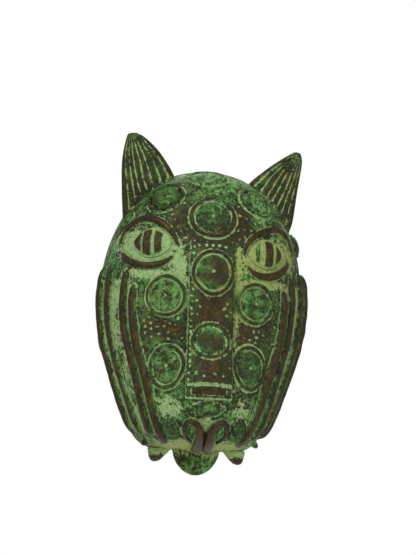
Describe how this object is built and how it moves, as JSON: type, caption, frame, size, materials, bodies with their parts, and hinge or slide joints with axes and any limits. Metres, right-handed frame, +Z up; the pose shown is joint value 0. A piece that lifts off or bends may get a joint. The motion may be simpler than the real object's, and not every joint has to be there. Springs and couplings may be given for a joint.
{
  "type": "spotted-cat wall mask",
  "caption": "Hollow metal wall mask of a spotted cat's head with upright ears, ringed spots, cheek rolls, curled nostrils, fangs, tongue and a hanging bar at the back.",
  "frame": {"origin": "in the wall plane, straight behind the middle of the hanging bar's underside, where the mask bears on its nail", "axes": "+X to the viewer's right, +Z up, +Y into the wall; the face looks towards -Y and the shell's rim lies in the plane Y = 0"},
  "size_m": [0.16, 0.1194, 0.2532],
  "materials": {
    "verdigris": "copper alloy under matte mottled verdigris",
    "worn": "copper alloy worn to dark brown on the raised parts, faintly metallic",
    "pale": "copper alloy under pale chalky verdigris",
    "bare": "dull brown copper alloy"
  },
  "bodies": {
    "root": {"cheek_roll_left_1": "worn", "cheek_roll_left_2": "worn", "cheek_roll_left_3": "worn", "cheek_roll_left_4": "worn", "cheek_roll_right_1": "worn", "cheek_roll_right_2": "worn", "cheek_roll_right_3": "worn", "cheek_roll_right_4": "worn", "ear_left": "verdigris", "ear_right": "verdigris", "eyeball_left": "pale", "eyeball_right": "pale", "fang_left": "pale", "fang_right": "pale", "hanging_bar": "bare", "jaw_tip_left": "worn", "jaw_tip_right": "worn", "lower_lid_left": "worn", "lower_lid_right": "worn", "mask_shell": "verdigris", "nose_bridge": "worn", "nose_tip": "verdigris", "nostril_left": "worn", "nostril_right": "worn", "rosette_bridge_lower": "verdigris", "rosette_bridge_upper": "verdigris", "rosette_cheek_lower_left": "verdigris", "rosette_cheek_lower_right": "verdigris", "rosette_cheek_upper_left": "verdigris", "rosette_cheek_upper_right": "verdigris", "rosette_crown": "verdigris", "rosette_forehead_centre": "verdigris", "rosette_forehead_left": "verdigris", "rosette_forehead_right": "verdigris", "rosette_jaw_left": "verdigris", "rosette_jaw_right": "verdigris", "rosette_temple_left": "verdigris", "rosette_temple_right": "verdigris", "tongue": "verdigris", "upper_lid_left": "worn", "upper_lid_right": "worn", "upper_lip_bar": "worn", "whisker_pad_left": "verdigris", "whisker_pad_right": "verdigris"}
  },
  "joints": []
}
